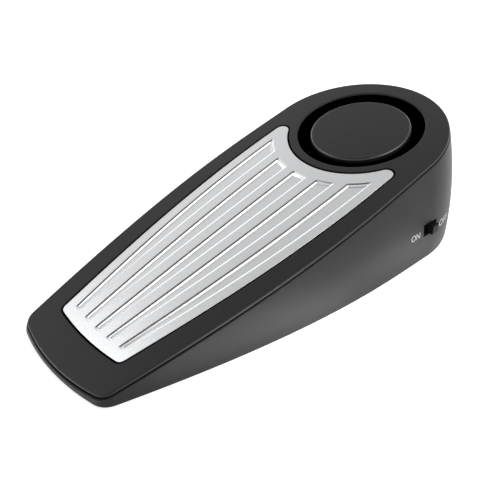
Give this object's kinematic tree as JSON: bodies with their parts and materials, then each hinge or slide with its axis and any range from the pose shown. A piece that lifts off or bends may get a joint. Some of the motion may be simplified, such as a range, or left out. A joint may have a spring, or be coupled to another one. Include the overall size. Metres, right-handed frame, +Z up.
{
  "type": "door stop alarm",
  "caption": "Wedge-shaped floor door stop with a hinged fluted metal pressure plate, a round siren behind it and an on-off slide switch in its side.",
  "frame": {"origin": "centre of the footprint at floor level", "axes": "+X towards the thick rounded end that holds the siren, the thin tip points to -X, +Y to the side without the switch, +Z up"},
  "size_m": [0.1431, 0.0682, 0.0378],
  "materials": {
    "black_case": "matte moulded ABS with a fine spark texture",
    "inner_plastic": "plain moulded black",
    "plate_metal": "satin, pressed flutes",
    "steel": "bright zinc",
    "foot_rubber": "matte",
    "sounder_brass": "rolled sheet with a ceramic disc",
    "board": "green solder mask",
    "plunger_plastic": "red moulded",
    "coil_wire": "lacquered winding in a sleeve",
    "capacitor_sleeve": "shrunk sleeve",
    "battery_jacket": "plain dark printed jacket",
    "lead_red": "vinyl insulation",
    "lead_black": "vinyl insulation"
  },
  "bodies": {
    "case": {"main_housing": "black_case", "top_cover": "black_case", "base_plate": "black_case", "foot_front": "foot_rubber", "foot_mid_left": "foot_rubber", "foot_mid_right": "foot_rubber", "foot_rear_left": "foot_rubber", "foot_rear_right": "foot_rubber", "hinge_pin": "steel", "return_spring_left": "steel", "return_spring_right": "steel", "siren_cap": "black_case", "siren_base": "inner_plastic", "piezo_element": "sounder_brass", "piezo_retainer": "inner_plastic", "circuit_board": "board", "trigger_switch": "inner_plastic", "driver_coil": "coil_wire", "capacitor_1": "capacitor_sleeve", "capacitor_2": "capacitor_sleeve", "control_chip": "inner_plastic", "transistor": "inner_plastic", "switch_body": "steel", "battery": "battery_jacket", "battery_snap": "inner_plastic", "battery_lead_red": "lead_red", "battery_lead_black": "lead_black", "sounder_lead_red": "lead_red", "sounder_lead_black": "lead_black", "switch_lead_red": "lead_red", "switch_lead_black": "lead_black", "case_screw_1": "steel", "case_screw_2": "steel", "case_screw_3": "steel", "case_screw_4": "steel", "board_screw_1": "steel", "board_screw_2": "steel", "siren_screw_1": "steel", "siren_screw_2": "steel"},
    "plate": {"pressure_plate": "plate_metal", "plate_carrier": "inner_plastic"},
    "plunger": {"trigger_plunger": "plunger_plastic"},
    "slide_knob": {"switch_knob": "inner_plastic"},
    "door": {"battery_door": "black_case"}
  },
  "joints": [
    {"name": "plate_press", "type": "hinge", "parent": "case", "child": "plate", "pos_m": [-0.04649, 0, 0.00618], "axis": [0, 1, 0], "range_deg": [0, 1], "stiffness_Nm_per_rad": 7, "springref_deg": -1.09, "deforming": ["return_spring_left", "return_spring_right"]},
    {"name": "plunger_travel", "type": "slide", "parent": "case", "child": "plunger", "axis": [0, 0, -1], "range_m": [0, 0.00068]},
    {"name": "switch_slide", "type": "slide", "parent": "case", "child": "slide_knob", "axis": [-1, 0, 0], "range_m": [0, 0.0014]},
    {"name": "door_swing", "type": "hinge", "parent": "case", "child": "door", "pos_m": [0.01389, 0, 0.0028], "axis": [0, 1, 0], "range_deg": [0, 25]}
  ],
  "couplings": [
    {"joint": "plunger_travel", "follows": "plate_press", "m_per_rad": 0.038475}
  ]
}
